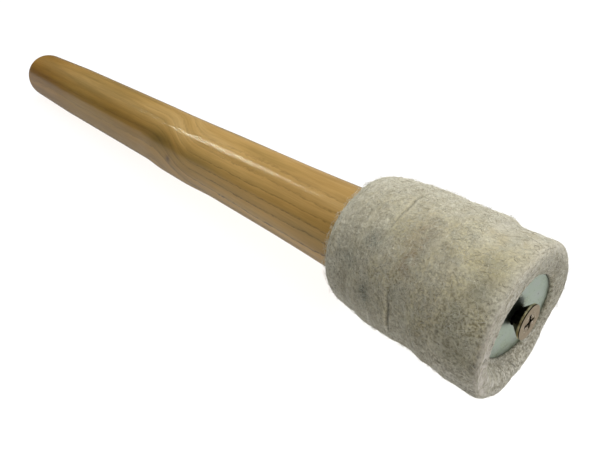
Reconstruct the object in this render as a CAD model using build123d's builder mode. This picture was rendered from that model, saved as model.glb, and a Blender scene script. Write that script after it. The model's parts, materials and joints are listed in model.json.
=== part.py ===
"""Felt-headed polishing stick.

A turned ash handle ends in a spigot. Six felt rings and a thicker front disc are stacked on it
and drawn against its shoulder by one wood screw over a wide penny washer.

Millimetres. The handle's axis lies along X: the origin is the centre of the felt's flat front
face, +X comes out of that face, the handle runs towards -X, and +Z is up.
"""

from build123d import *
import os

os.makedirs("parts", exist_ok=True)

# ---- Felt head -------------------------------------------------------------------------------
felt_edge = 0.8  # rounding of each felt layer's edges, which shows as a shallow seam
front_rim_rounding = 2.0
working_face_inner_r = 16.4  # the flat face starts here, outside the dish round the washer
dish_depth = 2.2
dish_floor_r = 13.2

# Each layer: name, front x, back x, outer radius, and how far its outside is off the axis in Y, Z.
front_layer = ("front_felt_disc", 0.0, -13.3, 21.55, (-0.6, -0.8))
ring_layers = [
    ("felt_ring_1", -13.3, -20.3, 21.95, (0.0, 0.1)),
    ("felt_ring_2", -20.3, -27.2, 21.55, (0.3, 0.45)),
    ("felt_ring_3", -27.2, -34.2, 21.8, (0.2, 0.25)),
    ("felt_ring_4", -34.2, -41.0, 21.75, (0.1, 0.15)),
    ("felt_ring_5", -41.0, -47.7, 21.05, (0.35, 0.5)),
]
rear_layer = ("felt_ring_6", -47.7, -54.0, 20.5, (0.3, 0.45))
rear_rounding_length = 5.0  # the rear layer curves in to meet the handle over this length

# Felt is soft: where the stick lies on a bench its head beds down to a narrow flat. The flat's
# plane runs this far below the axis at the front face, and back to the underside of the butt.
bench_depth = 22.5
bench_width = 90.0
bench_length = 180.0

# ---- Ash handle ------------------------------------------------------------------------------
spigot_r = 12.0
spigot_front_x = -14.3  # stops 1 mm short of the front disc, so the screw can squeeze the stack
spigot_lead_in = 1.0
shoulder_x = -52.2
shoulder_r = 14.0
neck_x = -98.0
neck_r = 13.2
grip_r = 13.0
grip_front_x = -176.0
grip_back_x = -262.0
butt_x = -312.0
butt_r = 12.1
butt_rounding = 6.0

# The swell round the knot: x, radius, and how far the section is pushed out in Y, Z.
swell_front_x = -124.0
swell_sections = [
    (swell_front_x, 13.15, (0.0, 0.0)),
    (-142.0, 13.28, (-0.25, -0.33)),
    (-161.0, 13.28, (-0.27, -0.35)),
    (grip_front_x, grip_r, (0.0, 0.0)),
]

# ---- Penny washer and clamping screw ---------------------------------------------------------
washer_r = 12.5
washer_hole_r = 2.65
washer_thickness = 1.5
washer_edge = 0.25
washer_front_x = -3.5
washer_lean = (1.0, -0.10, -0.054)  # the washer beds a little askew in the soft felt

screw_length = 50.0
screw_lean = (1.0, 0.02, -0.01)  # driven by hand, so a degree or two off the handle's axis
head_lift = 0.35  # a leaning cone touches the washer's hole on one side and stands off the other
head_r = 4.85
head_rim = 0.7
shank_r = 1.8
core_r = 1.55
thread_root_r = 1.25  # the thread's foot is sunk into the core
thread_r = 2.5
thread_pitch = 2.5
thread_root_width = 1.1
thread_crest_width = 0.25
threaded_length = 30.0
thread_runout = 1.0
point_length = 5.0
recess_width = 5.0
recess_depth = 2.6
recess_floor_width = 1.5
recess_slot = 1.05
recess_turn = 8.0  # degrees the cross is turned from +Y
pilot_clearance = 0.02


# ---- Places worked out from the dimensions ---------------------------------------------------
axis_x = Axis((0, 0, 0), (1, 0, 0))
bench_slope = (bench_depth - butt_r) / (-butt_x - butt_rounding)
bench_plane = Plane(origin=(0, 0, -bench_depth), x_dir=(0, 1, 0), z_dir=(bench_slope, 0, 1))
washer_plane = Plane(origin=(washer_front_x, 0, 0), x_dir=(0, 1, 0), z_dir=washer_lean)

# The head's cone rests on the edge of the washer's hole.
head_height = head_rim + head_r - washer_hole_r + head_lift
cone_height = head_r - shank_r
seat = Plane(origin=(washer_front_x, 0, 0), x_dir=(0, 1, 0), z_dir=screw_lean)
screw_top = seat.offset(head_height)
screw_axis = Axis(screw_top.origin, screw_top.z_dir)
shank_start = -(head_rim + cone_height)
thread_start = -(screw_length - threaded_length)
point_start = -(screw_length - point_length)


def side_plane(turn):
    """A plane through the screw's axis, with its own x along the axis and out of the head."""
    across = screw_top.y_dir.rotate(screw_axis, turn)
    return Plane(origin=screw_top.origin, x_dir=screw_top.z_dir, z_dir=across)


# ---- Clamping screw --------------------------------------------------------------------------
with BuildPart() as clamp_screw:
    with BuildSketch(side_plane(0)):
        with BuildLine():
            Polyline(
                (0, 0),
                (0, head_r),
                (-head_rim, head_r),
                (shank_start, shank_r),
                (thread_start, shank_r),
                (thread_start - shank_r + core_r, core_r),
                (point_start, core_r),
                (-screw_length, 0),
                close=True,
            )
        make_face()
    revolve(axis=screw_axis)
    for turn in (recess_turn, recess_turn + 90):
        with BuildSketch(side_plane(turn)):
            with BuildLine():
                Polyline(
                    (0, -recess_width / 2),
                    (0, recess_width / 2),
                    (-recess_depth, recess_floor_width / 2),
                    (-recess_depth, -recess_floor_width / 2),
                    close=True,
                )
            make_face()
        extrude(amount=recess_slot / 2, both=True, mode=Mode.SUBTRACT)
    thread_base = screw_top.offset(point_start + thread_runout)
    with BuildLine() as thread_path:
        Helix(
            pitch=thread_pitch,
            height=thread_start - point_start - 2 * thread_runout,
            radius=thread_root_r,
            center=thread_base.origin,
            direction=thread_base.z_dir,
        )
    with BuildSketch(
        Plane(
            origin=thread_path.line @ 0,
            x_dir=thread_base.z_dir,
            z_dir=thread_path.line % 0,
        )
    ):
        with BuildLine():
            Polyline(
                (-thread_root_width / 2, 0),
                (thread_root_width / 2, 0),
                (thread_crest_width / 2, thread_r - thread_root_r),
                (-thread_crest_width / 2, thread_r - thread_root_r),
                close=True,
            )
        make_face()
    sweep(path=thread_path.line, is_frenet=True)
clamp_screw.part.label = "clamp_screw"
export_step(clamp_screw.part, "parts/clamp_screw.step")


# ---- Penny washer ----------------------------------------------------------------------------
with BuildPart() as penny_washer:
    with BuildSketch(washer_plane):
        Circle(washer_r)
        Circle(washer_hole_r, mode=Mode.SUBTRACT)
    extrude(amount=-washer_thickness)
    fillet(penny_washer.edges().filter_by(GeomType.CIRCLE).sort_by(SortBy.RADIUS)[-2:], washer_edge)
penny_washer.part.label = "penny_washer"
export_step(penny_washer.part, "parts/penny_washer.step")


# ---- Handle ----------------------------------------------------------------------------------
with BuildPart() as handle:
    with BuildSketch(Plane.XY):
        with BuildLine():
            spigot = Polyline(
                (spigot_front_x, 0),
                (spigot_front_x, spigot_r - spigot_lead_in),
                (spigot_front_x - spigot_lead_in, spigot_r),
                (shoulder_x, spigot_r),
                (shoulder_x, shoulder_r),
            )
            neck = Spline(
                spigot @ 1,
                (neck_x, neck_r),
                tangents=((-1, -0.03), (-1, 0)),
            )
            Polyline(
                neck @ 1,
                (swell_front_x, swell_sections[0][1]),
                (swell_front_x, 0),
                (spigot_front_x, 0),
            )
        make_face()
    revolve(axis=axis_x)
    for x, radius, push in swell_sections:
        with BuildSketch(Plane.YZ.offset(x)):
            with Locations(push):
                Circle(radius)
    loft()
    with BuildSketch(Plane.XY):
        with BuildLine():
            Polyline(
                (grip_front_x, 0),
                (grip_front_x, grip_r),
                (grip_back_x, grip_r),
                (butt_x, butt_r),
                (butt_x, 0),
                close=True,
            )
        make_face()
    revolve(axis=axis_x)
    fillet(handle.edges().filter_by(GeomType.CIRCLE).sort_by(Axis.X)[0], butt_rounding)
    with BuildSketch(screw_top.offset(shank_start)):
        Circle(shank_r + pilot_clearance)
    extrude(amount=-(screw_length + shank_start - point_length), mode=Mode.SUBTRACT)
handle.part.label = "handle"
export_step(handle.part, "parts/handle.step")


# ---- Felt layers -----------------------------------------------------------------------------
with BuildPart() as bench:
    with BuildSketch(bench_plane):
        Rectangle(bench_width, bench_length)
    extrude(amount=-bench_depth)


def layer_blank(front_x, back_x, radius, push):
    """A disc cut from thick felt, off the axis by push, with both its edges rounded."""
    with BuildPart() as blank:
        with BuildSketch(Plane.YZ.offset(back_x)):
            with Locations(push):
                Circle(radius)
        extrude(amount=front_x - back_x)
        fillet(blank.edges().filter_by(GeomType.CIRCLE), felt_edge)
    return blank.part


for name, front_x, back_x, radius, push in ring_layers:
    with BuildPart() as felt_ring:
        add(layer_blank(front_x, back_x, radius, push))
        add(bench.part, mode=Mode.SUBTRACT)
        with BuildSketch(Plane.YZ.offset(back_x)):
            Circle(spigot_r)
        extrude(amount=front_x - back_x, mode=Mode.SUBTRACT)
    felt_ring.part.label = name
    export_step(felt_ring.part, f"parts/{name}.step")


# ---- Rear felt layer, rounded down to the handle ---------------------------------------------
name, front_x, back_x, radius, (push_y, push_z) = rear_layer
with BuildPart() as rear_felt_ring:
    with BuildSketch(Plane.XY.offset(push_z)):
        with BuildLine():
            outside = Polyline(
                (back_x, push_y),
                (front_x, push_y),
                (front_x, push_y + radius - felt_edge),
                (front_x - felt_edge, push_y + radius),
                (back_x + rear_rounding_length, push_y + radius),
            )
            rounding = Spline(
                outside @ 1,
                (back_x, push_y + shoulder_r + felt_edge),
                tangents=((-1, 0), (-0.25, -1)),
            )
            Line(rounding @ 1, outside @ 0)
        make_face()
    revolve(axis=Axis((0, push_y, push_z), (1, 0, 0)))
    add(bench.part, mode=Mode.SUBTRACT)
    with BuildSketch(Plane.YZ.offset(back_x)):
        Circle(spigot_r)
    extrude(amount=front_x - back_x, mode=Mode.SUBTRACT)
    with BuildSketch(Plane.YZ.offset(back_x)):
        Circle(shoulder_r)
    extrude(amount=shoulder_x - back_x, mode=Mode.SUBTRACT)
rear_felt_ring.part.label = name
export_step(rear_felt_ring.part, f"parts/{name}.step")


# ---- Front felt disc, dished and bedded under the washer -------------------------------------
name, front_x, back_x, radius, push = front_layer
with BuildPart() as front_felt_disc:
    with BuildSketch(Plane.YZ.offset(back_x)):
        with Locations(push):
            Circle(radius)
    extrude(amount=front_x - back_x)
    rims = front_felt_disc.edges().filter_by(GeomType.CIRCLE).sort_by(Axis.X)
    fillet(rims[0], felt_edge)
    fillet(rims[-1], front_rim_rounding)
    add(bench.part, mode=Mode.SUBTRACT)
    with BuildSketch(Plane.XY):
        with BuildLine():
            Polyline(
                (front_x, 0),
                (front_x, working_face_inner_r),
                (front_x - dish_depth, dish_floor_r),
                (front_x - dish_depth, 0),
                close=True,
            )
        make_face()
    revolve(axis=axis_x, mode=Mode.SUBTRACT)
    with BuildSketch(washer_plane.offset(-washer_thickness)):
        Circle(washer_r)
    extrude(amount=-washer_front_x + washer_thickness, mode=Mode.SUBTRACT)
    with BuildSketch(seat):
        Circle(thread_r)
    extrude(amount=back_x - front_x - washer_thickness, mode=Mode.SUBTRACT)
front_felt_disc.part.label = name
export_step(front_felt_disc.part, f"parts/{name}.step")
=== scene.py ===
"""The looks of the felt-headed polishing stick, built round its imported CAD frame.

Every length is in metres in the frame's own axes: +X comes out of the felt's front face, the
handle runs towards -X and +Z is up. The felt layers and the handle are replaced by fine meshes
of their true surface; the washer and the screw keep their CAD meshes and get real finishes.
"""

import json
import math
from collections import namedtuple

import bmesh
import bpy
import numpy as np
from mathutils import Matrix, Vector


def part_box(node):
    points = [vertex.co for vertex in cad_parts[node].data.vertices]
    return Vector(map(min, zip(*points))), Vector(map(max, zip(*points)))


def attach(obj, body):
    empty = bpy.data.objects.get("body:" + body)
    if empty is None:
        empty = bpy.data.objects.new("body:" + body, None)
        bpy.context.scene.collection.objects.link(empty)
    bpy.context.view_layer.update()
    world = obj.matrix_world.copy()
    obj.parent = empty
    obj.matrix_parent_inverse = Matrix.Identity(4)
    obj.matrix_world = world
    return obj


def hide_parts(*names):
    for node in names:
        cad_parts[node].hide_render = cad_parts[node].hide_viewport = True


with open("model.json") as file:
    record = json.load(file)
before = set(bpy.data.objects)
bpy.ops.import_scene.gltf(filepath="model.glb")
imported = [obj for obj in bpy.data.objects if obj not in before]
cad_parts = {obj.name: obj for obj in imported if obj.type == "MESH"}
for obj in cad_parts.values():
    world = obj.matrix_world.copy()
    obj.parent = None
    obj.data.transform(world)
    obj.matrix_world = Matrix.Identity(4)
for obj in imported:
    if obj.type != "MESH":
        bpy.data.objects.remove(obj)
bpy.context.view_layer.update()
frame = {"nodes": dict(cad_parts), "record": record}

MM = 0.001
TURN = 2 * math.pi
rng = np.random.default_rng(20)

# ---- Places read from the frame ----------------------------------------------
LAYERS = ["front_felt_disc"] + [f"felt_ring_{i}" for i in range(1, 7)]
handle_back, handle_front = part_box("handle")
BUTT_X = handle_back.x
SPIGOT_X = handle_front.x
SHOULDER_R = handle_front.z
SHOULDER_X = -52.2 * MM
BORE_R = 12 * MM  # the felt rings' bore, which the handle's spigot fills

Circle = namedtuple("Circle", "front back radius centre_y centre_z")


def layer_circle(node):
    """A felt layer's front and back x and its outer circle, from its CAD box."""
    low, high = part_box(node)
    radius = (high.y - low.y) / 2
    return Circle(high.x, low.x, radius, (high.y + low.y) / 2, high.z - radius)


layer_circles = [layer_circle(n) for n in LAYERS]
seam_places = [circle.back for circle in layer_circles[:-1]]
HEAD_BACK_X = layer_circles[-1].back


def disc_plane(node):
    """The middle, outward normal and thickness of a flat round CAD node."""
    points = np.array([v.co for v in frame["nodes"][node].data.vertices])
    low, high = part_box(node)
    middle = np.array((low + high) / 2)
    _, directions = np.linalg.eigh(np.cov((points - middle).T))
    normal = directions[:, 0] * np.sign(directions[0, 0])
    reach = (points - middle) @ normal
    return middle, normal, reach.max() - reach.min()


washer_middle, washer_normal, washer_thickness = disc_plane("penny_washer")
washer_low, washer_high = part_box("penny_washer")
WASHER_R = (washer_high.y - washer_low.y) / 2

# The bench that the stick lies on touches the butt's edge and the felt's flats.
BENCH_SLOPE = 0.0340
BENCH_DEPTH = 22.5 * MM


def bench_z(x):
    """The height of the bench's top at x."""
    return -BENCH_DEPTH - BENCH_SLOPE * x


# ---- Small numeric tools -----------------------------------------------------
def smooth(low, high, value):
    """0 below low, 1 above high, and a smooth S between."""
    t = np.clip((value - low) / (high - low), 0, 1)
    return t * t * (3 - 2 * t)


def lumps(points, size, seed):
    """Smooth random values from -1 to 1 at each point, with lumps about size across."""
    scaled = points / size + seed * 7.31
    cell = np.floor(scaled)
    part = scaled - cell
    blend = part * part * (3 - 2 * part)
    cell = cell.astype(np.int64)
    total = np.zeros(points.shape[:-1])
    # Each corner of a point's cell has its own random value, hashed from its whole numbers.
    for corner in np.ndindex(2, 2, 2):
        key = (cell + np.array(corner)) @ np.array([73856093, 19349663, 83492791]) + seed
        key = ((key ^ (key >> 13)) * 1274126177) & 0x7FFFFFFF
        key = ((key ^ (key >> 15)) * 668265263) & 0x7FFFFFFF
        weight = np.prod(np.where(corner, blend, 1 - blend), axis=-1)
        total += weight * (key / 0x3FFFFFFF - 1)
    return total


def unit(vectors):
    """The vectors scaled to a length of 1."""
    return vectors / np.maximum(np.linalg.norm(vectors, axis=-1, keepdims=True), 1e-12)


def turn_of(points):
    """Each point's direction round the stick, in degrees from +Y towards +Z."""
    return np.degrees(np.arctan2(points[..., 2], points[..., 1])) % 360


def degrees_past(turn, middle):
    """How many degrees a direction is past the middle one, from -180 to 180."""
    return (turn - middle + 180) % 360 - 180


def hump(turn, middle, half_width, power=2):
    """1 at the middle direction, fading to 0 on both sides of it. All are in degrees."""
    return np.exp(-((np.abs(degrees_past(turn, middle)) / half_width) ** power))


def add_attribute(mesh, name, values):
    """Gives each of the mesh's points a value that a material reads by name."""
    layer = mesh.attributes.new(name, "FLOAT", "POINT")
    layer.data.foreach_set("value", np.asarray(values, np.float32).ravel())


def add_object(data):
    """An object in the scene that holds a mesh, lamp or camera and has its name."""
    made = bpy.data.objects.new(data.name, data)
    bpy.context.scene.collection.objects.link(made)
    return made


def grid_mesh(name, points, closed, attributes):
    """A piece from points[row, column, xyz]. Columns close on themselves, and so do rows if
    closed; if not, the first and last rows are each one point repeated, which weld_ends joins."""
    rows, columns = points.shape[:2]
    row = np.arange(rows if closed else rows - 1)[:, None]
    column = np.arange(columns)[None, :]
    after, beside = (row + 1) % rows, (column + 1) % columns
    corners = [(row, column), (after, column), (after, beside), (row, beside)]
    faces = np.stack([r * columns + c for r, c in corners], axis=-1).reshape(-1, 4)
    mesh = bpy.data.meshes.new(name)
    mesh.from_pydata(points.reshape(-1, 3).tolist(), [], faces.tolist())
    for key, values in attributes:
        add_attribute(mesh, key, values)
    mesh.shade_smooth()
    return add_object(mesh)


def weld_ends(piece):
    """Merges the repeated end points of an open grid into single poles."""
    shape = bmesh.new()
    shape.from_mesh(piece.data)
    bmesh.ops.remove_doubles(shape, verts=shape.verts, dist=1e-7)
    shape.to_mesh(piece.data)
    shape.free()


# ---- Materials ---------------------------------------------------------------
def set_inputs(tree, node, inputs):
    """Sets a node's inputs from (socket, value) pairs, where a value may be another socket."""
    for socket, value in inputs:
        if isinstance(value, bpy.types.NodeSocket):
            tree.links.new(value, node.inputs[socket])
        else:
            node.inputs[socket].default_value = value


def add_node(tree, kind, inputs=(), **settings):
    """A shader node with its settings and inputs."""
    made = tree.nodes.new(kind)
    for key, value in settings.items():
        setattr(made, key, value)
    set_inputs(tree, made, inputs)
    return made


def new_material(name):
    """An empty material, its tree, its Principled shader and its object coordinates."""
    material = bpy.data.materials.new(name)
    material.use_nodes = True
    tree = material.node_tree
    shader = tree.nodes["Principled BSDF"]
    place = add_node(tree, "ShaderNodeTexCoord").outputs["Object"]
    return material, tree, shader, place


def noise(tree, place, size, detail=2.0, roughness=0.5, distortion=0.0):
    """A noise texture's value, with features about size metres across."""
    inputs = [("Vector", place), ("Scale", 1 / size), ("Detail", detail)]
    inputs += [("Roughness", roughness), ("Distortion", distortion)]
    return add_node(tree, "ShaderNodeTexNoise", inputs).outputs["Fac"]


def ramp(tree, value, stops):
    """A colour ramp through stops of (position, (r, g, b))."""
    made = add_node(tree, "ShaderNodeValToRGB", [("Fac", value)])
    elements = made.color_ramp.elements
    while len(elements) < len(stops):
        elements.new(0.5)
    for element, (position, colour) in zip(elements, stops):
        element.position = position
        element.color = (*colour, 1)
    return made.outputs["Color"]


def grey_ramp(tree, value, low, high, start=0.0, end=1.0, interpolation="LINEAR"):
    """value mapped from low..high to start..end, clamped."""
    limits = [("From Min", low), ("From Max", high), ("To Min", start), ("To Max", end)]
    return add_node(
        tree,
        "ShaderNodeMapRange",
        [("Value", value), *limits],
        interpolation_type=interpolation,
    ).outputs["Result"]


def mix(tree, amount, first, second, blend="MIX"):
    """The first colour blended towards the second, or multiplied by it, by an amount."""
    colours = [
        (socket, value if isinstance(value, bpy.types.NodeSocket) else (*value, 1))
        for socket, value in ((6, first), (7, second))
    ]
    return add_node(
        tree, "ShaderNodeMix", [(0, amount), *colours], data_type="RGBA", blend_type=blend
    ).outputs[2]


def maths(tree, operation, *values):
    """A maths node's result."""
    return add_node(tree, "ShaderNodeMath", enumerate(values), operation=operation).outputs[0]


def product(tree, first, second):
    """Two values multiplied."""
    return maths(tree, "MULTIPLY", first, second)


def vector_maths(tree, operation, *values):
    """A vector maths node's outputs, of which one is called Vector and one Value."""
    return add_node(tree, "ShaderNodeVectorMath", enumerate(values), operation=operation).outputs


def component(tree, vector, axis):
    """One of a vector's three values, named X, Y or Z."""
    return add_node(tree, "ShaderNodeSeparateXYZ", [("Vector", vector)]).outputs[axis]


def attribute(tree, name):
    """A value that grid_mesh or build_fibres gave to the mesh's points."""
    return add_node(tree, "ShaderNodeAttribute", attribute_name=name).outputs["Fac"]


def stretched(tree, place, times):
    """Coordinates in which a texture comes out stretched along the stick."""
    return add_node(
        tree, "ShaderNodeMapping", [("Vector", place), ("Scale", (1 / times, 1, 1))]
    ).outputs["Vector"]


def bump(tree, height, strength, distance, over=None):
    """The surface's normal bumped by height, over another bump's normal if there is one."""
    inputs = [("Height", height), ("Strength", strength), ("Distance", distance)]
    if over is not None:
        inputs.append(("Normal", over))
    return add_node(tree, "ShaderNodeBump", inputs).outputs["Normal"]


def felt_material():
    """Undyed pressed wool: mottled off-white, with stray darker fibres and a soft sheen."""
    material, tree, shader, place = new_material("undyed_wool_felt")
    height = component(tree, place, "Z")
    # Broad clouds, yellowed by handling, stained and greyer behind; low down they are painted
    # paler, as fill light.
    colour = ramp(
        tree,
        noise(tree, place, 8 * MM, detail=3),
        [(0.3, (0.59, 0.55, 0.43)), (0.5, (0.69, 0.65, 0.53)), (0.7, (0.765, 0.74, 0.62))],
    )
    colour = mix(tree, attribute(tree, "warm"), colour, (0.84, 0.785, 0.555), "MULTIPLY")
    stain = noise(tree, place, 6.5 * MM, detail=3, roughness=0.6)
    colour = mix(tree, grey_ramp(tree, stain, 0.52, 0.70, 0, 0.55), colour, (0.54, 0.46, 0.27))
    shade = noise(tree, place, 5 * MM, detail=4, roughness=0.6)
    colour = mix(tree, grey_ramp(tree, shade, 0.54, 0.70, 0, 0.6), colour, (0.35, 0.35, 0.285))
    colour = mix(tree, attribute(tree, "rear"), colour, (0.46, 0.425, 0.325))
    # Painted fill light: paler low down.
    painted_fill_light_low = grey_ramp(tree, height, 0, -9 * MM, 0, 0.5)
    colour = mix(tree, painted_fill_light_low, colour, (0.90, 0.87, 0.78))
    # Dirt sits between the fibres. Less of it and less grain are kept on top than round the sides:
    # painted light, which leaves the top paler and plainer.
    fine = noise(tree, place, 0.8 * MM, detail=5, roughness=0.7, distortion=0.3)
    painted_light_on_top = grey_ramp(tree, height, 8 * MM, 19 * MM, 0.0, 0.6)
    pale = maths(tree, "MAXIMUM", painted_light_on_top, grey_ramp(tree, fine, 0.28, 0.55))
    colour = mix(tree, pale, (0.38, 0.345, 0.26), colour)
    grain_fade_on_painted_lit_top = grey_ramp(tree, height, 8 * MM, 19 * MM, 1.0, 0.25)
    grain = noise(tree, place, 0.62 * MM, detail=2)
    grain = product(tree, grain_fade_on_painted_lit_top, grey_ramp(tree, grain, 0.38, 0.58, 0.95, 0))
    colour = mix(tree, grain, colour, (0.46, 0.44, 0.38), "MULTIPLY")
    # Grey tufts, small dark flecks, a painted highlight on the front rim, the brown streak, and
    # painted shade in the creases and cracks.
    tufts = product(tree, attribute(tree, "grey"), grey_ramp(tree, fine, 0.32, 0.52))
    fleck = noise(tree, place, 1.6 * MM, detail=5, roughness=0.75, distortion=2.5)
    for amount, tint in (
        (tufts, (0.12, 0.14, 0.12)),
        (grey_ramp(tree, fleck, 0.66, 0.74, 0, 0.6), (0.15, 0.125, 0.085)),
        # A painted highlight along the front rim's near side.
        (attribute(tree, "rim"), (0.78, 0.71, 0.62)),
        (attribute(tree, "brown"), (0.29, 0.21, 0.12)),
        # Painted shade in the seams' creases and the face's cracks, with dark spots of dirt.
        (attribute(tree, "crease_shade_and_flecks"), (0.085, 0.08, 0.055)),
    ):
        colour = mix(tree, amount, colour, tint)
    fibres = noise(tree, place, 0.45 * MM, detail=4, roughness=0.65, distortion=0.3)
    looks = [
        ("Base Color", colour),
        ("Roughness", grey_ramp(tree, fine, 0.3, 0.7, 0.85, 1.0)),
        ("Normal", bump(tree, fibres, 0.28, 0.2 * MM)),
        ("Sheen Weight", 0.3),
        ("Sheen Roughness", 0.5),
        ("Specular IOR Level", 0.15),
    ]
    set_inputs(tree, shader, looks)
    return material


def fibre_material():
    """Single wool fibres, most of them pale and a few brown."""
    material, tree, shader, _ = new_material("wool_fibre")
    brown_to_pale = [
        (0.0, (0.12, 0.09, 0.06)),
        (0.05, (0.40, 0.34, 0.23)),
        (0.25, (0.68, 0.64, 0.50)),
        (1.0, (0.88, 0.86, 0.75)),
    ]
    looks = [
        ("Base Color", ramp(tree, attribute(tree, "tone"), brown_to_pale)),
        ("Roughness", 0.7),
        ("Specular IOR Level", 0.3),
    ]
    set_inputs(tree, shader, looks)
    return material


def growth_lines(tree, place, along, height):
    """The ash's growth layers, which swing round a knot. Returns the coordinates turned with
    them, a broad tone, how far each layer has faded, and how strong its dark line is."""
    swing = grey_ramp(tree, along, -166 * MM, -128 * MM, 0.72, 0.0, "SMOOTHERSTEP")
    waver = noise(tree, stretched(tree, place, 30), 14 * MM, detail=2)
    angle = maths(tree, "ADD", swing, grey_ramp(tree, waver, 0, 1, -0.16, 0.16))
    turned = add_node(
        tree,
        "ShaderNodeVectorRotate",
        [("Vector", place), ("Axis", (1, 0, 0)), ("Angle", angle)],
        rotation_type="AXIS_ANGLE",
    ).outputs["Vector"]
    # The layers lie at a slant. Their lines wander, and are jagged close up.
    tone = noise(tree, stretched(tree, turned, 14), 6 * MM, detail=3)
    jagged = noise(tree, stretched(tree, turned, 3), 1.2 * MM, detail=4, roughness=0.65)
    depth = component(tree, turned, "Z")
    for offset in (
        grey_ramp(tree, tone, 0, 1, -1.9 * MM, 1.9 * MM),
        product(tree, component(tree, turned, "Y"), 0.35),
        grey_ramp(tree, jagged, 0.2, 0.8, -0.5 * MM, 0.5 * MM),
    ):
        depth = maths(tree, "ADD", depth, offset)
    layer = maths(tree, "FRACT", product(tree, depth, 1 / GROWTH_LAYER))
    # Each growth layer starts with a dark porous line and fades into plain wood.
    start = grey_ramp(tree, layer, 0.0, 0.04)
    line = product(tree, start, grey_ramp(tree, layer, 0.04, 0.17, 1, 0))
    fade = product(tree, start, grey_ramp(tree, layer, 0.04, 0.75, 1, 0))
    pores = noise(tree, stretched(tree, turned, 4), 0.4 * MM, detail=3)
    broken = product(tree, line, grey_ramp(tree, pores, 0.44, 0.54, 0.15, 1.0))
    # The lines are boldest low on the side near the felt, and faint behind the knot; they are
    # also faint on top, as painted light.
    bold = product(
        tree,
        grey_ramp(tree, along, -175 * MM, -115 * MM, 0.22, 1.0),
        grey_ramp(tree, height, -2 * MM, 11 * MM, 1.0, 0.22),
    )
    return turned, tone, fade, product(tree, broken, bold)


def wood_material():
    """Lacquered ash: golden wood with dark open-pored growth lines."""
    material, tree, shader, place = new_material("lacquered_ash")
    along, height = component(tree, place, "X"), component(tree, place, "Z")
    facing = add_node(tree, "ShaderNodeLayerWeight", [("Blend", 0.5)]).outputs["Facing"]
    turned, tone, fade, line = growth_lines(tree, place, along, height)
    colour = ramp(
        tree,
        tone,
        [(0.32, (0.49, 0.305, 0.09)), (0.5, (0.66, 0.40, 0.128)), (0.72, (0.78, 0.505, 0.195))],
    )
    streak = noise(tree, stretched(tree, turned, 25), 0.5 * MM, detail=3)
    band = product(tree, fade, grey_ramp(tree, along, -250 * MM, -150 * MM, 0.2, 0.36))
    band = product(tree, band, grey_ramp(tree, height, 3 * MM, 11 * MM, 1.0, 0.45))
    for amount, tint in (
        (grey_ramp(tree, streak, 0.35, 0.65, 0.22, 0), (0.24, 0.135, 0.03)),
        (band, (0.215, 0.135, 0.03)),
        (attribute(tree, "olive"), (0.225, 0.165, 0.045)),
    ):
        colour = mix(tree, amount, colour, tint)
    # Painted shade: the side is darker than the top, more so towards the butt, and the butt's end
    # darker still; the tone also goes in painted bands of light and shade by height, a little less
    # near the felt, where the top is darkened too.
    side = product(
        tree,
        grey_ramp(tree, along, -200 * MM, -120 * MM, 1, 0),
        grey_ramp(tree, height, 7 * MM, 11 * MM, 1.0, 0.4),
    )
    butt = grey_ramp(tree, along, -300 * MM, -240 * MM, 1, 0)
    painted_shade_by_height = ramp(
        tree,
        grey_ramp(tree, height, -13 * MM, 13 * MM),
        [
            (0.42, (0.85, 0.85, 0.76)),
            (0.58, (0.92, 0.92, 0.86)),
            (0.67, (0.82, 0.79, 0.64)),
            (0.75, (0.72, 0.68, 0.52)),
            (0.85, (0.85, 0.83, 0.74)),
            (0.94, (0.89, 0.91, 0.94)),
        ],
    )
    painted_shade_top_by_felt = product(
        tree,
        grey_ramp(tree, along, -110 * MM, -70 * MM),
        grey_ramp(tree, height, 5 * MM, 10 * MM),
    )
    # Each of these is painted shade or light by place, not a tone of the wood.
    for amount, tint in (
        (side, (0.60, 0.56, 0.32)),
        (butt, (0.95, 0.82, 0.52)),
        (grey_ramp(tree, along, -125 * MM, -75 * MM, 1.0, 0.65), painted_shade_by_height),
        (painted_shade_top_by_felt, (0.83, 0.82, 0.80)),
    ):
        colour = mix(tree, amount, colour, tint, "MULTIPLY")
    # Then the growth lines and the knot, and painted shade on the edges seen edge on and on the
    # underside.
    for amount, tint in (
        (line, (0.055, 0.026, 0.008)),
        (attribute(tree, "knot"), (0.11, 0.06, 0.02)),
        # Painted shade where the handle is seen edge on, and on its underside.
        (grey_ramp(tree, facing, 0.84, 0.98, 0, 0.8), (0.10, 0.085, 0.075)),
        (grey_ramp(tree, height, -7 * MM, 1 * MM, 0.25, 0.0), (0.12, 0.075, 0.03)),
    ):
        colour = mix(tree, amount, colour, tint)
    # Open pores sink a little, and the lacquer over them isn't quite smooth.
    grit = noise(tree, stretched(tree, place, 0.5), 0.6 * MM, detail=3, roughness=0.6)
    waves = noise(tree, stretched(tree, place, 3), 2.2 * MM, detail=2)
    pored = bump(tree, line, 0.4, -0.06 * MM)
    gritty = bump(tree, grit, 0.5, 0.05 * MM, over=pored)
    looks = [
        ("Base Color", colour),
        ("Roughness", 0.55),
        ("Specular IOR Level", 0.15),
        ("Normal", pored),
        # Seen edge on, the lacquer hardly shines.
        ("Coat Weight", grey_ramp(tree, facing, 0.60, 0.84, 0.34, 0.05)),
        ("Coat Roughness", 0.07),
        ("Coat IOR", 1.45),
        ("Coat Normal", bump(tree, waves, 0.2, 0.08 * MM, over=gritty)),
    ]
    set_inputs(tree, shader, looks)
    return material


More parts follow.
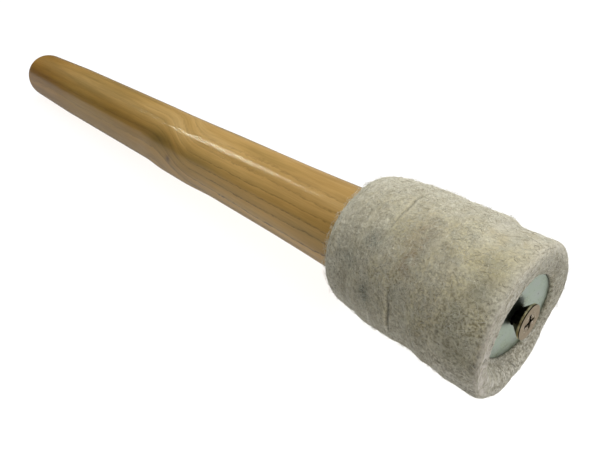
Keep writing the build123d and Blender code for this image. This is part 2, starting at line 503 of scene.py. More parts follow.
def zinc_material():
    """Bright zinc plating with a pale blue-green tint, faintly streaked and specked."""
    material, tree, shader, place = new_material("zinc_plate")
    cloud = noise(tree, place, 4 * MM, detail=3)
    tint = ramp(
        tree,
        cloud,
        [(0.3, (0.20, 0.245, 0.17)), (0.5, (0.235, 0.285, 0.22)), (0.7, (0.27, 0.30, 0.265))],
    )
    speck = noise(tree, place, 0.7 * MM, detail=3)
    tint = mix(tree, grey_ramp(tree, speck, 0.64, 0.70, 0, 0.6), tint, (0.06, 0.07, 0.045))
    dent = noise(tree, place, 1.5 * MM, detail=3)
    looks = [
        ("Base Color", tint),
        ("Metallic", 1.0),
        ("Roughness", grey_ramp(tree, cloud, 0.3, 0.7, 0.25, 0.36)),
        ("Normal", bump(tree, dent, 0.12, 0.05 * MM)),
    ]
    set_inputs(tree, shader, looks)
    return material


def screw_material():
    """Yellowish plated steel: a scuffed face, a rim with painted glints, and painted shade on the
    cone under the head and in the recess.
    """
    material, tree, shader, place = new_material("plated_screw")
    drive = next(m for m in frame["record"]["mounts"] if m["name"] == "screw_drive")
    top, axis = Vector(drive["pos_m"]), Vector(drive["axis"]).normalized()
    # Each point's place on the screw: depth is 0 at the face and falls towards the point.
    from_top = vector_maths(tree, "SUBTRACT", place, top)["Vector"]
    depth = vector_maths(tree, "DOT_PRODUCT", from_top, axis)["Value"]
    crossed = vector_maths(tree, "CROSS_PRODUCT", from_top, axis)["Vector"]
    radius = vector_maths(tree, "LENGTH", crossed)["Value"]
    cloud = noise(tree, place, 1.2 * MM, detail=4)
    face = ramp(
        tree,
        cloud,
        [(0.3, (0.125, 0.10, 0.068)), (0.5, (0.18, 0.15, 0.108)), (0.72, (0.31, 0.27, 0.20))],
    )
    # Dirt and bright nicks sit round the recess. The rim's plating is patched light and dark as
    # painted glints and reflections.
    middle = grey_ramp(tree, radius, 1.6 * MM, 3.6 * MM, 0.85, 0.0)
    scuff = noise(tree, place, 0.8 * MM, detail=3, distortion=1.0)
    dirt = product(tree, middle, grey_ramp(tree, scuff, 0.44, 0.54))
    face = mix(tree, dirt, face, (0.05, 0.035, 0.022))
    nicks = noise(tree, place, 0.45 * MM, detail=2)
    nicked = product(tree, middle, grey_ramp(tree, nicks, 0.58, 0.64))
    face = mix(tree, nicked, face, (0.80, 0.76, 0.66))
    # Painted glints: the rim's plating is patched light and dark.
    painted_rim_glints = noise(tree, place, 2.4 * MM, detail=2)
    plated = ramp(tree, painted_rim_glints, [(0.36, (0.36, 0.29, 0.15)), (0.54, (0.95, 0.88, 0.62))])
    tint = mix(tree, grey_ramp(tree, depth, -0.20 * MM, -0.15 * MM, 1, 0), face, plated)
    # It is nearly black under the rim and inside the recess, as painted shade, and in a line
    # round the face.
    below = grey_ramp(tree, depth, -1.0 * MM, -0.7 * MM, 1, 0)
    inside = product(
        tree,
        grey_ramp(tree, depth, -0.35 * MM, -0.08 * MM, 1, 0),
        grey_ramp(tree, radius, 3.0 * MM, 3.4 * MM, 1, 0),
    )
    line = product(
        tree,
        grey_ramp(tree, depth, -0.32 * MM, -0.26 * MM),
        grey_ramp(tree, depth, -0.08 * MM, -0.03 * MM, 1, 0),
    )
    line = product(tree, line, grey_ramp(tree, radius, 4.4 * MM, 4.6 * MM))
    dark = maths(tree, "MAXIMUM", maths(tree, "MAXIMUM", below, inside), line)
    looks = [
        ("Base Color", mix(tree, dark, tint, (0.025, 0.024, 0.018))),
        ("Metallic", 1.0),
        ("Specular Tint", (0.86, 0.78, 0.68, 1)),
        ("Roughness", grey_ramp(tree, cloud, 0.3, 0.7, 0.25, 0.45)),
    ]
    set_inputs(tree, shader, looks)
    return material


# ---- Felt head ---------------------------------------------------------------
AROUND = 440  # columns round the head
STEP = 0.32 * MM  # rows along it
GAP = 0.01 * MM  # left between one layer and the next
HEAD_R = 21.5 * MM  # the radius at which marks on the side are measured
SEAM_BLEND = 2.6 * MM  # a layer's outside swells into the next over this distance
SEAM_HALF = 0.42 * MM  # half the width of a seam's groove
SEAM_WANDER = 0.45 * MM
SHOWN = 0.9  # a point whose soft value is above this is on the shown surface

# How deep each seam's groove is, the angle from +Y where it opens most, and how much it opens.
SEAMS = [
    (0.0, math.radians(60), 0.05 * MM),
    (0.0, math.radians(235), 0.08 * MM),
    (0.04 * MM, math.radians(192), 0.55 * MM),
    (0.02 * MM, math.radians(106), 0.30 * MM),
    (0.0, math.radians(215), 0.15 * MM),
    (0.0, math.radians(120), 0.05 * MM),
]


def outside(x):
    """The head's outer radius and centre at x, blended smoothly from layer to layer."""
    first = layer_circles[0]
    radius = np.full(np.shape(x), first.radius)
    centre_y = np.full(np.shape(x), first.centre_y)
    centre_z = np.full(np.shape(x), first.centre_z)
    for place, before, after in zip(seam_places, layer_circles, layer_circles[1:]):
        share = smooth(SEAM_BLEND, -SEAM_BLEND, x - place)
        radius = radius + share * (after.radius - before.radius)
        centre_y = centre_y + share * (after.centre_y - before.centre_y)
        centre_z = centre_z + share * (after.centre_z - before.centre_z)
    return radius, centre_y, centre_z


def groove(x, angle):
    """How far the seams pull the surface in at x, and how much painted shade darkens their creases
    there.
    """
    depth = np.zeros(np.shape(x))
    crease_shade_and_flecks = np.zeros(np.shape(x))
    for number, (place, (all_round, opening, extra)) in enumerate(zip(seam_places, SEAMS)):
        ring = np.stack([np.cos(angle), np.sin(angle), np.full(np.shape(angle), number)], -1)
        uneven = 1 + 0.6 * lumps(ring, 0.35, 5 + number)
        open_here = np.maximum(np.cos(angle - opening), 0) ** 7
        deep = (all_round + extra * open_here) * uneven
        wander = SEAM_WANDER * lumps(ring, 0.22, 15 + number)
        near = np.exp(-(((x - place - wander) / SEAM_HALF) ** 2))
        depth = depth + deep * near
        crease_shade_and_flecks = crease_shade_and_flecks + near**2 * extra / (0.75 * MM) * open_here * uneven
    return depth, np.clip(crease_shade_and_flecks, 0, 1)


def felt_lumps(points, seed):
    """How far pressed wool stands out or in, from broad unevenness down to tufts."""
    return (
        0.22 * MM * lumps(points, 9 * MM, seed)
        + 0.11 * MM * lumps(points, 3.2 * MM, seed + 1)
        + 0.05 * MM * lumps(points, 1.3 * MM, seed + 2)
        + 0.04 * MM * lumps(points, 0.6 * MM, seed + 3)
    )


def place_felt(profile):
    """Points[row, column] of one layer, with each one's soft value and the painted shade of its
    seams' creases. The profile's rows are (x, inset, soft), where inset is the distance in
    from the outside, and soft is 1 on the shown surface and 0 inside the stack."""
    angle = np.linspace(0, TURN, AROUND, endpoint=False)[None, :]
    x, inset, soft = (profile[:, i : i + 1] + 0 * angle for i in range(3))
    radius, centre_y, centre_z = outside(x)
    depth, crease_shade_and_flecks = groove(x, angle)
    r = radius - inset - soft * depth
    loose = smooth(BORE_R, 18 * MM, r)
    y = loose * centre_y + r * np.cos(angle)
    z = loose * centre_z + r * np.sin(angle)
    return np.stack([x, y, z], -1), soft, crease_shade_and_flecks


def surface_normals(points):
    """Unit normals of a closed grid, pointing out of the piece."""
    along = np.roll(points, -1, 0) - np.roll(points, 1, 0)
    round_ = np.roll(points, -1, 1) - np.roll(points, 1, 1)
    return unit(np.cross(along, round_))


def bed_down(points):
    """Keeps the felt on the bench it lies on."""
    floor = bench_z(points[..., 0])
    points[..., 2] = np.maximum(points[..., 2], floor)
    return points


def front_rows(front, back):
    """A layer's outer radius and its wall, and its rows across its front face."""
    radius = float(outside(np.array([(front + back) / 2]))[0][0])
    wall = radius - BORE_R
    insets = np.linspace(wall, 0.5 * MM, 8)
    return radius, wall, [(front - GAP, inset, 0) for inset in insets]


def side_profile(front, back):
    """Rows along a plain layer: its front face, its outside, its back face and its bore."""
    _, wall, rows = front_rows(front, back)
    steps = max(int((front - back) / STEP), 4)
    back_face = [(back + GAP, inset, 0) for _, inset, _ in rows[::-1]]
    rows += [(x, 0, 1) for x in np.linspace(front - GAP, back + GAP, steps)]
    rows += back_face
    rows += [(x, wall, 0) for x in np.linspace(back + GAP, front - GAP, 6)[1:-1]]
    return np.array(rows)


def rear_profile(front, back):
    """The rear layer's rows: like a plain layer's, but rounded down to the handle."""
    radius, wall, rows = front_rows(front, back)
    drop = radius - SHOULDER_R - 0.05 * MM
    length = 5.0 * MM  # of the rounding, along the stick
    inner_back = back + 2 * MM  # where the layer's back meets the handle's shoulder
    steps = int((front - back - length) / STEP)
    rows += [(x, 0, 1) for x in np.linspace(front - GAP, back + length, steps)]
    for turn in np.linspace(0, math.pi / 2, 38)[1:]:
        soft = 1 if turn < 1.5 else 0.5
        rows.append((back + length - length * math.sin(turn), drop * (1 - math.cos(turn)), soft))
    rows += [(inner_back, drop, 0), (inner_back, wall, 0)]
    rows += [(x, wall, 0) for x in np.linspace(inner_back, front - GAP, 6)[1:-1]]
    return np.array(rows)


def brown_streak(points):
    """A streak of brown wool beside the third seam, on the side and the upper side."""
    x, turn = points[..., 0], turn_of(points)
    along = smooth(104, 120, turn) * smooth(164, 148, turn)
    patch = np.clip(0.75 + 1.2 * lumps(points, 1.6 * MM, 41), 0, 1)
    return 0.8 * along * patch * np.exp(-(((x + 25.4 * MM) / (2.3 * MM)) ** 2))


def rear_grey(points):
    """Greyer wool towards the back of the head, in soft patches, and most of it low down."""
    x, z = points[..., 0], points[..., 2]
    low = smooth(6 * MM, -12 * MM, z)
    patch = 0.5 + 0.5 * lumps(points, 7 * MM, 47)
    return smooth(-26 * MM, -50 * MM, x) * (0.25 + 0.5 * patch) * (0.2 + 0.8 * low)


def marks(points, places):
    """Soft spots on the head's outside: places are (x, degrees, half length, half width, how
    strong), with the lengths in millimetres."""
    x, turn = points[..., 0], turn_of(points)
    total = np.zeros(x.shape)
    for at, degrees, length, width, strong in places:
        aside = np.radians(degrees_past(turn, degrees)) * HEAD_R / (width * MM)
        total += strong * np.exp(-(((x / MM - at) / length) ** 2) - aside**2)
    return np.clip(total, 0, 1)


# Small dark spots, most of them dirt and the last three painted shade in the creases under the
# front rim's near side, and broad patches of grey wool, as marks takes them.
DIRT_FLECKS_AND_CREASE_SHADE = [
    (-11.9, 174, 0.35, 0.6, 1.0),
    (-12.4, 171, 0.25, 0.4, 0.8),
    (-47.0, 164, 0.30, 0.7, 0.9),
    (-27.4, 119, 0.35, 0.35, 0.9),
    # These three are painted shade in the creases where the side meets the front rim.
    (-1.2, 182, 0.9, 0.5, 0.7),
    (-2.2, 186, 0.5, 0.9, 0.6),
    (-0.7, 174, 0.6, 0.3, 0.5),
]
GREY_PATCHES = [
    (-36.8, 142, 3.0, 3.3, 0.85),
    (-35.1, 178, 2.0, 4.2, 1.0),
    (-25.6, 168, 2.0, 2.6, 0.5),
    (-42.0, 160, 3.4, 3.4, 0.65),
    (-9.0, 160, 2.6, 4.0, 0.4),
    (-6.0, 140, 2.6, 3.0, 0.3),
    (-6.5, 182, 4.5, 5.5, 0.35),
    (-25.5, 140, 3.0, 3.2, 0.35),
    (-7.0, 130, 3.5, 6.0, 0.2),
    (-14.0, 80, 4.0, 6.0, 0.12),
]


def warm_side(points):
    """How yellow with handling the wool is: most along the side, least on top and in front."""
    x, turn = points[..., 0], turn_of(points)
    side = smooth(75, 115, turn) * smooth(235, 190, turn)
    patch = 0.62 + 0.38 * lumps(points, 5 * MM, 53)
    return side * patch * smooth(0.5 * MM, -4 * MM, x) * smooth(-52 * MM, -30 * MM, x)


def build_layer(number):
    """One felt layer as a fine closed mesh, with its grid kept for the loose fibres."""
    name, (front, back) = LAYERS[number], layer_circles[number][:2]
    if number == 0:
        points, soft, crease_shade_and_flecks, rim = front_disc()
    else:
        profile = rear_profile if name == LAYERS[-1] else side_profile
        points, soft, crease_shade_and_flecks = place_felt(profile(front, back))
        rim = np.zeros(soft.shape)
    normal = surface_normals(points)
    # At a seam the two layers are pushed straight out, so that they stay together.
    radial = unit(points * (0, 1, 1))
    seam_gap = np.min([np.abs(points[..., 0] - place) for place in seam_places], axis=0)
    at_seam = (seam_gap < 0.25 * MM) & (soft > SHOWN)
    normal = np.where(at_seam[..., None], radial, normal)
    push = soft * felt_lumps(points, 3)
    points = bed_down(points + normal * push[..., None])
    looks = [
        # Painted shade of the seams' creases and the face's cracks, and the listed dark spots.
        ("crease_shade_and_flecks", np.maximum(crease_shade_and_flecks, marks(points, DIRT_FLECKS_AND_CREASE_SHADE)) * soft),
        ("grey", marks(points, GREY_PATCHES)),
        # A painted highlight along the front rim's near side.
        ("rim", rim * soft),
        ("brown", brown_streak(points)),
        ("rear", rear_grey(points)),
        ("warm", warm_side(points)),
    ]
    piece = grid_mesh(f"wool_{name}", points, True, looks)
    piece.data.set_sharp_from_angle(angle=math.radians(50))
    piece.data.materials.append(felt)
    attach(piece, "root")
    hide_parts(name)
    return points, surface_normals(points), soft


# ---- Front felt disc ---------------------------------------------------------
SCREW_HOLE_R = 2.6 * MM
HOLE_FRONT = 6 * MM  # the screw's hole runs from the disc's back to this far behind its face
# The bed's wall round the washer, in millimetres: how far ahead of the washer's back, and how
# far outside its edge.
BED_WALL = [(0.0, 0.02), (0.7, 0.05), (1.45, 0.03), (1.6, -0.08), (1.9, -0.16), (2.2, -0.02)]
LIP_HEIGHT = 2.5  # millimetres ahead of the washer's back
DISH_R = 16.4 * MM
NEAR_SIDE = 178  # degrees: here the bed's lip is pressed outwards and a little down
NEAR_LIP_DROP = 0.4  # millimetres
NEAR_LIP_SPREAD = 1.5 * MM
RIM_SQUASH = 0.8  # the rim's rounding is shorter than it is tall

# Painted shade of short cracks in the face's felt: each end's (y, z) and the crack's half width.
FACE_CRACK_SHADE = [
    ((-6.2 * MM, -5.6 * MM), (-5.6 * MM, -6.9 * MM), 0.16 * MM),
    ((-3.0 * MM, -11.2 * MM), (-1.8 * MM, -12.6 * MM), 0.17 * MM),
    ((-1.0 * MM, -13.4 * MM), (0.9 * MM, -15.6 * MM), 0.17 * MM),
    ((-21.0 * MM, 0.2 * MM), (-20.0 * MM, 0.6 * MM), 0.30 * MM),
]


def washer_face(y, z, ahead):
    """x on the plane parallel to the washer's, ahead of its back face by that much."""
    base = washer_middle - washer_normal * washer_thickness / 2
    lean = washer_normal
    return base[0] + (ahead - (y - base[1]) * lean[1] - (z - base[2]) * lean[2]) / lean[0]


def near_segment(y, z, first, second, wide):
    """1 on the line from first to second, fading to 0 a few widths from it."""
    first, second = np.array(first), np.array(second)
    along = second - first
    share = ((y - first[0]) * along[0] + (z - first[1]) * along[1]) / (along @ along)
    share = np.clip(share, 0, 1)
    gap = np.hypot(y - first[0] - share * along[0], z - first[1] - share * along[1])
    return np.exp(-((gap / wide) ** 2))


def worn_rounding(turn):
    """How far the front rim is rounded off: a little all round, and far more where it's worn."""
    worn = 6.2 * hump(turn, 304, 44, 2.2) + 2.3 * hump(turn, 48, 32) + 3.2 * hump(turn, 236, 20)
    return (1.0 + worn) * MM


def worn_back(turn, r):
    """How far use has worn the face back, most at its low far side."""
    away = degrees_past(turn, 325)
    far_side = np.exp(-((away / np.where(away > 0, 48, 40)) ** 2))
    worn = (1.65 * far_side + 0.6 * hump(turn, 262, 32)) * MM
    return worn * np.clip((r - 12.6 * MM) / (4.5 * MM), 0, 1)


def face_rows(front, back, radius, pressed):
    """The front disc's rows from its back face, through the screw's hole and over the washer's
    bed to the end of the dish. They are (x, r, follow, soft), where follow says how far x is
    measured from the washer's plane instead of the head's own."""
    spread = NEAR_LIP_SPREAD * pressed
    rows = [(back + GAP, r, 0, 0) for r in np.linspace(radius - 0.5 * MM, SCREW_HOLE_R, 8)]
    hole = np.linspace(back + GAP, front - HOLE_FRONT, 4)[1:]
    rows += [(x, SCREW_HOLE_R, 0, 0) for x in hole]
    rows += [(0, r, 1, 0) for r in np.linspace(SCREW_HOLE_R, WASHER_R - 0.2 * MM, 6)]
    for ahead, over in BED_WALL:
        lean = spread / MM * float(smooth(1.45, LIP_HEIGHT, ahead))
        rows.append((ahead * MM, WASHER_R + (over + lean) * MM, 1, float(ahead > 1.5)))
    dish_start = WASHER_R + 0.2 * MM
    lip = (LIP_HEIGHT - NEAR_LIP_DROP * pressed) * MM
    for r in np.arange(dish_start, DISH_R, STEP):
        share = float(smooth(dish_start, DISH_R, r))
        rows.append((lip * (1 - share) + front * share, r + spread, 1 - share, 1))
    return rows


def rim_rows(front, back, radius, turn, dish_end):
    """The front disc's rows from the dish across the flat ring, round the rim and back along
    the side, as (x, r, follow, soft)."""
    rounding = worn_rounding(turn)
    centre_y, centre_z = layer_circles[0][3:]
    shift = centre_y * np.cos(np.radians(turn)) + centre_z * np.sin(np.radians(turn))
    ring_end = np.maximum(radius - rounding + 0.8 * shift, dish_end + 0.3 * MM)
    rows = [
        (front, dish_end + share * (ring_end - dish_end), 0, 1)
        for share in np.linspace(0, 1, 12)[:-1]
    ]
    for bend in np.linspace(0, math.pi / 2, 22)[:-1]:
        x = front - rounding * (1 - math.cos(bend)) * RIM_SQUASH
        rows.append((x, ring_end + (radius - ring_end) * math.sin(bend), 0, 1))
    start = front - rounding * RIM_SQUASH
    for share in np.linspace(0, 1, int((front - 2 * MM - back) / STEP)):
        rows.append((start + share * (back + GAP - start), radius, 0, 1))
    return rows


def front_disc():
    """The front disc's points, with their soft values, the painted shade of their creases and
    cracks, and their rim values, which are a painted highlight on the rim's crest.
    """
    front, back, radius = layer_circles[0][:3]
    angle = np.linspace(0, TURN, AROUND, endpoint=False)
    turn = np.degrees(angle)
    pressed = hump(turn, NEAR_SIDE, 60)
    rows = face_rows(front, back, radius, pressed)
    rows += rim_rows(front, back, radius, turn, DISH_R + NEAR_LIP_SPREAD * pressed)
    grid = np.array([[value + 0 * angle for value in row] for row in rows])
    x, r, follow, soft = np.moveaxis(grid, 1, 0)
    on_side = np.where(follow > 0, front, x)
    shape_r, centre_y, centre_z = outside(on_side)
    r = r + (shape_r - radius) * smooth(0.7, 1.0, r / radius)
    depth, crease_shade_and_flecks = groove(on_side, angle + 0 * x)
    behind_face = on_side < -2 * MM
    r = r - soft * depth * behind_face
    loose = smooth(14 * MM, 20 * MM, r)
    y = loose * centre_y + r * np.cos(angle)
    z = loose * centre_z + r * np.sin(angle)
    worn = worn_back(turn, r) * soft * smooth(back, front - 1 * MM, x)
    x = (1 - follow) * x + follow * washer_face(y, z, x) - worn
    # Painted highlight: the rim's crest is lightened, most on its near side, where it catches the
    # light.
    bright = np.maximum(np.cos(angle - math.radians(190)), 0) ** 1.4
    painted_crest_highlight = smooth(front - 1.6 * MM, front - 0.1 * MM, x) * smooth(16 * MM, 20.5 * MM, r) * bright
    crease_shade_and_flecks = crease_shade_and_flecks * behind_face
    for first, second, half_width in FACE_CRACK_SHADE:
        crease_shade_and_flecks = crease_shade_and_flecks + near_segment(y, z, first, second, half_width) * (x > -3 * MM)
    return np.stack([x, y, z], -1), soft, np.clip(crease_shade_and_flecks, 0, 1), 0.8 * painted_crest_highlight


# ---- Loose wool fibres -------------------------------------------------------
FIBRES = 6400  # on each layer
FIBRE_POINTS = 5  # along a fibre
FIBRE_SIDES = 3  # round it
FIBRE_SUNK = 0.03 * MM  # into the felt, at a fibre's ends


def sample(grid, row, column):
    """Values of a grid between its points; columns wrap round and rows stop at the ends."""
    rows, columns = grid.shape[:2]
    row = np.clip(row, 0, rows - 1.001)
    low_r, low_c = np.floor(row).astype(int), np.floor(column).astype(int)
    part_r, part_c = (row - low_r)[..., None], (column - low_c)[..., None]
    low_c, next_c = low_c % columns, (low_c + 1) % columns
    top = grid[low_r, low_c] * (1 - part_c) + grid[low_r, next_c] * part_c
    bottom = grid[low_r + 1, low_c] * (1 - part_c) + grid[low_r + 1, next_c] * part_c
    return top * (1 - part_r) + bottom * part_r


def fibre_paths(points, normals, soft):
    """Curly fibres lying on one layer's felt, with a few that stand clear of it: the places
    along each one, the way out of the felt there, and its width and tone."""
    shown = np.argwhere(soft > SHOWN)
    start = shown[rng.integers(0, len(shown), FIBRES)]
    row = start[:, 0] + rng.random(FIBRES)
    column = start[:, 1] + rng.random(FIBRES)
    length = rng.gamma(4.0, 0.6, FIBRES) * MM + 0.7 * MM
    heading = rng.random(FIBRES) * TURN
    curl = rng.normal(0, 2.2, FIBRES)
    # More of them stand clear, and further, at the back edge of the head.
    at_back = sample(points, row, column)[:, 0] < HEAD_BACK_X + 1.5 * MM
    stray = rng.random(FIBRES) < np.where(at_back, 0.22, 0.04)
    lift = np.where(stray, rng.uniform(0.3, 0.8, FIBRES), rng.uniform(0.04, 0.09, FIBRES)) * MM
    lift = lift * np.where(stray & at_back, 1.9, 1)
    width = rng.uniform(0.020, 0.042, FIBRES) * MM
    tone = rng.random(FIBRES)
    # Each one takes equal steps over the layer's grid, and turns steadily as it goes.
    share = np.linspace(0, 1, FIBRE_POINTS)
    step = length / (FIBRE_POINTS - 1)
    across = TURN * np.hypot(points[..., 1], points[..., 2]) / AROUND
    column_step = sample(across[..., None], row, column)[:, 0]
    path_row, path_column = [row], [column]
    for s in share[1:]:
        turn = heading + curl * s * 2
        path_row.append(path_row[-1] + np.cos(turn) * step / STEP)
        path_column.append(path_column[-1] + np.sin(turn) * step / column_step)
    path_row, path_column = np.stack(path_row, 1), np.stack(path_column, 1)
    on = sample(points, path_row, path_column)
    out = unit(sample(normals, path_row, path_column))
    arch = np.where(stray[:, None], share**0.8, np.sin(math.pi * share) ** 0.7)
    height = lift[:, None] * arch - FIBRE_SUNK
    return on + out * height[..., None], out, width, tone


def fibre_tubes(path, out, width):
    """The vertices and faces of a thin closed tube round each fibre's path."""
    forward = unit(np.gradient(path, axis=1))
    side = unit(np.cross(forward, out))
    up = np.cross(side, forward)
    share = np.linspace(0, 1, FIBRE_POINTS)
    thick = width[:, None, None] * (1 - 0.55 * np.abs(2 * share - 1) ** 2)[None, :, None]
    rings = [
        path + thick * (math.cos(a) * up + math.sin(a) * side)
        for a in np.arange(FIBRE_SIDES) * TURN / FIBRE_SIDES
    ]
    vertices = np.stack(rings, 2).reshape(-1, 3)
    first = np.arange(FIBRES)[:, None, None] * FIBRE_POINTS * FIBRE_SIDES
    ring = np.arange(FIBRE_POINTS - 1)[None, :, None] * FIBRE_SIDES
    corner = np.arange(FIBRE_SIDES)[None, None, :]
    a = first + ring + corner
    b = first + ring + (corner + 1) % FIBRE_SIDES
    quads = np.stack([a, b, b + FIBRE_SIDES, a + FIBRE_SIDES], -1).reshape(-1, 4)
    last = (FIBRE_POINTS - 1) * FIBRE_SIDES
    start_caps = first[:, 0] + np.array([[2, 1, 0]])
    end_caps = first[:, 0] + last + np.array([[0, 1, 2]])
    return vertices, quads.tolist() + start_caps.tolist() + end_caps.tolist()


def build_fibres(number, points, normals, soft):
    """One layer's loose fibres as a single mesh."""
    path, out, width, tone = fibre_paths(points, normals, soft)
    vertices, faces = fibre_tubes(path, out, width)
    mesh = bpy.data.meshes.new(f"fibres_{LAYERS[number]}")
    mesh.from_pydata(bed_down(vertices).tolist(), [], faces)
    add_attribute(mesh, "tone", np.repeat(tone, FIBRE_POINTS * FIBRE_SIDES))
    mesh.shade_smooth()
    piece = add_object(mesh)
    piece.data.materials.append(fibre)
    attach(piece, "root")


# ---- Handle ------------------------------------------------------------------
HANDLE_AROUND = 176
HANDLE_STEP = 0.6 * MM
BUTT_ROUNDING = 6 * MM
GROWTH_LAYER = 3.6 * MM
# The knot's swell: how much thicker the handle is there, and how far its middle shifts.
KNOT_SWELL = 0.28 * MM
KNOT_SHIFT_Y = -0.27 * MM
KNOT_SHIFT_Z = -0.35 * MM


def handle_radius(x):
    """The handle's radius at x behind its shoulder, before the knot's swell."""
    stations = np.array([-312, -262, -176, -124, -98, -86, -74, -62, -52.2]) * MM
    radii = np.array([12.1, 13.0, 13.0, 13.15, 13.2, 13.26, 13.42, 13.68, 14.0]) * MM
    return np.interp(x, stations, radii)


def patch_at(x, turn, middle_mm, middle_turn, length_mm, degrees):
    """1 in the middle of a patch of the handle's surface, and fading to 0 round it."""
    away = (x - middle_mm * MM) / (length_mm * MM)
    return np.exp(-(away**2)) * hump(turn, middle_turn, degrees)


def handle_profile():
    """The handle's (x, r) rows: its butt, its grip, its shoulder, its spigot and their ends."""
    rows = [(BUTT_X, r) for r in np.linspace(0, handle_radius(BUTT_X) - BUTT_ROUNDING, 10)]
    for turn in np.linspace(0, math.pi / 2, 14)[1:]:
        x = BUTT_X + BUTT_ROUNDING * (1 - math.cos(turn))
        rows.append((x, handle_radius(x) - BUTT_ROUNDING * (1 - math.sin(turn))))
    for x in np.arange(BUTT_X + BUTT_ROUNDING + HANDLE_STEP, SHOULDER_X, HANDLE_STEP):
        rows.append((x, handle_radius(x)))
    rows += [(SHOULDER_X, SHOULDER_R), (SHOULDER_X, BORE_R)]
    rows += [(x, BORE_R) for x in np.linspace(SHOULDER_X + 2 * MM, SPIGOT_X - 1 * MM, 8)]
    # The spigot's front face is hidden in the head, so the screw's hole in it is left out.
    rows += [(SPIGOT_X, r) for r in (BORE_R - 1 * MM, 5 * MM, 0)]
    return np.array(rows)


def build_handle():
    """The handle from butt to spigot as one closed fine mesh."""
    rows = handle_profile()
    angle = np.linspace(0, TURN, HANDLE_AROUND, endpoint=False)[None, :]
    x, r = rows[:, 0:1] + 0 * angle, rows[:, 1:2] + 0 * angle
    swell = smooth(-176 * MM, -160 * MM, x) * smooth(-124 * MM, -145 * MM, x)
    r = r + swell * KNOT_SWELL
    y = r * np.cos(angle) + KNOT_SHIFT_Y * swell
    z = r * np.sin(angle) + KNOT_SHIFT_Z * swell
    points = np.stack([x, y, z], -1)
    turn = np.degrees(angle) + 0 * x
    # The knot itself, and the olive stains behind it and in front of it.
    knot = 0.85 * patch_at(x, turn, -147.5, 176, 1.6, 6.0)
    olive = 0.6 * patch_at(x, turn, -156, 152, 9, 15) + 0.45 * patch_at(x, turn, -128, 158, 16, 9)
    # The rows are turned round, so that the faces point outwards.
    looks = [("knot", knot[::-1]), ("olive", olive[::-1])]
    piece = grid_mesh("ash_handle", points[::-1], False, looks)
    weld_ends(piece)
    piece.data.materials.append(wood)
    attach(piece, "root")
    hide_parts("handle")


# ---- Making the pieces -------------------------------------------------------
felt = felt_material()
fibre = fibre_material()
wood = wood_material()

for number in range(len(LAYERS)):
    points, normals, soft = build_layer(number)
    build_fibres(number, points, normals, soft)
build_handle()

for node, material in (("penny_washer", zinc_material()), ("clamp_screw", screw_material())):
    mesh = frame["nodes"][node].data
    mesh.materials.clear()
    mesh.materials.append(material)

# ---- Stage, light and camera -------------------------------------------------
FLOOR_HALF = 6.0  # half the floor's side
WALL_HEIGHT = 6.0
FLOOR_DROP = 0.02 * MM  # the floor is this far below the bench's top, clear of the felt


def stage_piece(name, vertices, faces, looks):
    """A matt piece of the stage, whose other inputs are in looks."""
    mesh = bpy.data.meshes.new(name)
    mesh.from_pydata(vertices, [], faces)
    material, tree, shader, _ = new_material(f"pale_{name}")
    set_inputs(tree, shader, [("Roughness", 1.0), ("Specular IOR Level", 0.0), *looks])
    mesh.materials.append(material)
    return add_object(mesh)


corners = FLOOR_HALF * np.array([(-1, -1), (1, -1), (1, 1), (-1, 1)])
feet = [(x, y, bench_z(x) - FLOOR_DROP) for x, y in corners]
tops = [(x, y, WALL_HEIGHT) for x, y in corners]
floor = stage_piece("floor", feet, [(0, 1, 2, 3)], [("Base Color", (0.9, 0.9, 0.9, 1))])
floor.visible_diffuse = False

# Pale walls round the floor's edge. Only the camera sees them: they throw no light or shade.
walls = [(i, (i + 1) % 4, (i + 1) % 4 + 4, i + 4) for i in range(4)]
glow = [("Base Color", (0, 0, 0, 1)), ("Emission Color", (1, 1, 1, 1)), ("Emission Strength", 1.0)]
backdrop = stage_piece("backdrop", feet + tops, walls, glow)
backdrop.data.materials[0].cycles.emission_sampling = "NONE"
for ray in ("diffuse", "glossy", "transmission", "volume_scatter", "shadow"):
    setattr(backdrop, f"visible_{ray}", False)


def floor_group(name, state):
    """A collection that names the floor as lit by a lamp, or as left out."""
    group = bpy.data.collections.new(name)
    group.objects.link(floor)
    group.collection_objects[0].light_linking.link_state = state
    return group


only_floor = floor_group("only_floor", "INCLUDE")
all_but_floor = floor_group("all_but_floor", "EXCLUDE")


def add_lamp(name, kind, power, place, towards, along, group):
    """A lamp at place that shines at towards, with its long side along that direction."""
    data = bpy.data.lights.new(name, kind)
    data.energy = power
    lamp = add_object(data)
    axis_z = (Vector(place) - Vector(towards)).normalized()
    axis_x = Vector(along)
    axis_x = (axis_x - axis_z * axis_x.dot(axis_z)).normalized()
    turned = Matrix((axis_x, axis_z.cross(axis_x), axis_z)).transposed()
    lamp.matrix_world = Matrix.Translation(Vector(place)) @ turned.to_4x4()
    lamp.light_linking.receiver_collection = group
    return lamp


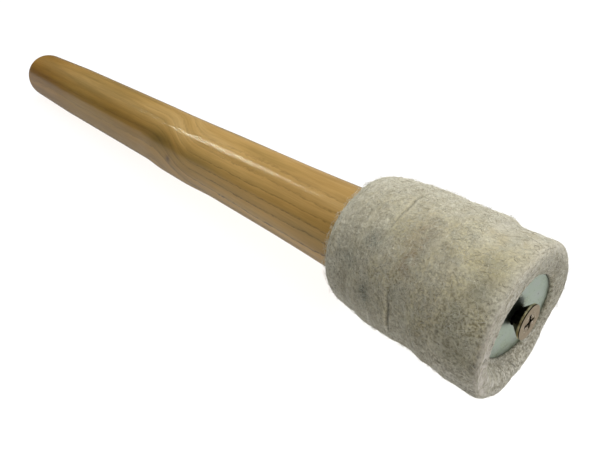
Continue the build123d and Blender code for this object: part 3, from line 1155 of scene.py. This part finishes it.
def set_size(lamp, length, width):
    """Makes an area lamp a rectangle."""
    lamp.data.shape = "RECTANGLE"
    lamp.data.size, lamp.data.size_y = length, width


# The floor has its own even light, so the object's shade on it stays faint.
wash = add_lamp("floor_wash", "SUN", 2.9, (0, 0, 2), (0, 0, 0), (1, 0, 0), only_floor)
wash.light_linking.blocker_collection = only_floor

softbox = add_lamp(
    "softbox", "AREA", 1.78, (0.0, 0.10, 0.46), (-0.03, 0, 0), (1, 0, 0), all_but_floor
)
set_size(softbox, 0.38, 0.38)

# A long narrow lamp, whose reflection runs along the handle from the knot to the felt.
lit = Vector((-0.109, -0.003, 0.012))
lamp_place = lit + 1.5 * Vector((-0.764, -0.082, 0.64))
tube = add_lamp("tube_lamp", "AREA", 3.3, lamp_place, lit, (0.56, 0.50, 0.66), all_but_floor)
set_size(tube, 0.32, 0.035)
tube.data.color = (0.94, 1.0, 0.80)

# The sky is brighter in front of the stick than behind it, and pale below.
world = bpy.data.worlds.new("studio")
bpy.context.scene.world = world
world.use_nodes = True
tree = world.node_tree
sky = add_node(tree, "ShaderNodeTexCoord").outputs["Generated"]
sky_z = component(tree, sky, "Z")
sky_side = maths(tree, "ADD", component(tree, sky, "X"), product(tree, sky_z, -0.5))
sky_level = grey_ramp(tree, sky_side, -0.95, 0.5, 0.06, 0.62)
sky_level = maths(tree, "ADD", sky_level, grey_ramp(tree, sky_z, -0.2, -1.0, 0, 0.34))
set_inputs(tree, tree.nodes["Background"], [("Strength", sky_level), ("Color", (1, 1, 1, 1))])

# The camera stands in front of the stick and looks along it from above.
VIEW_FROM = (0.0418, -0.1127, 0.0878)
VIEW_ALONG = Vector((-0.647, 0.581, -0.494))
camera_data = bpy.data.cameras.new("camera")
camera_data.sensor_width = 36
camera_data.lens = 33.6
camera_data.clip_start = 0.005
camera = add_object(camera_data)
camera.location = VIEW_FROM
camera.rotation_euler = VIEW_ALONG.to_track_quat("-Z", "Y").to_euler()
bpy.context.scene.camera = camera
bpy.context.scene.view_settings.view_transform = "Standard"
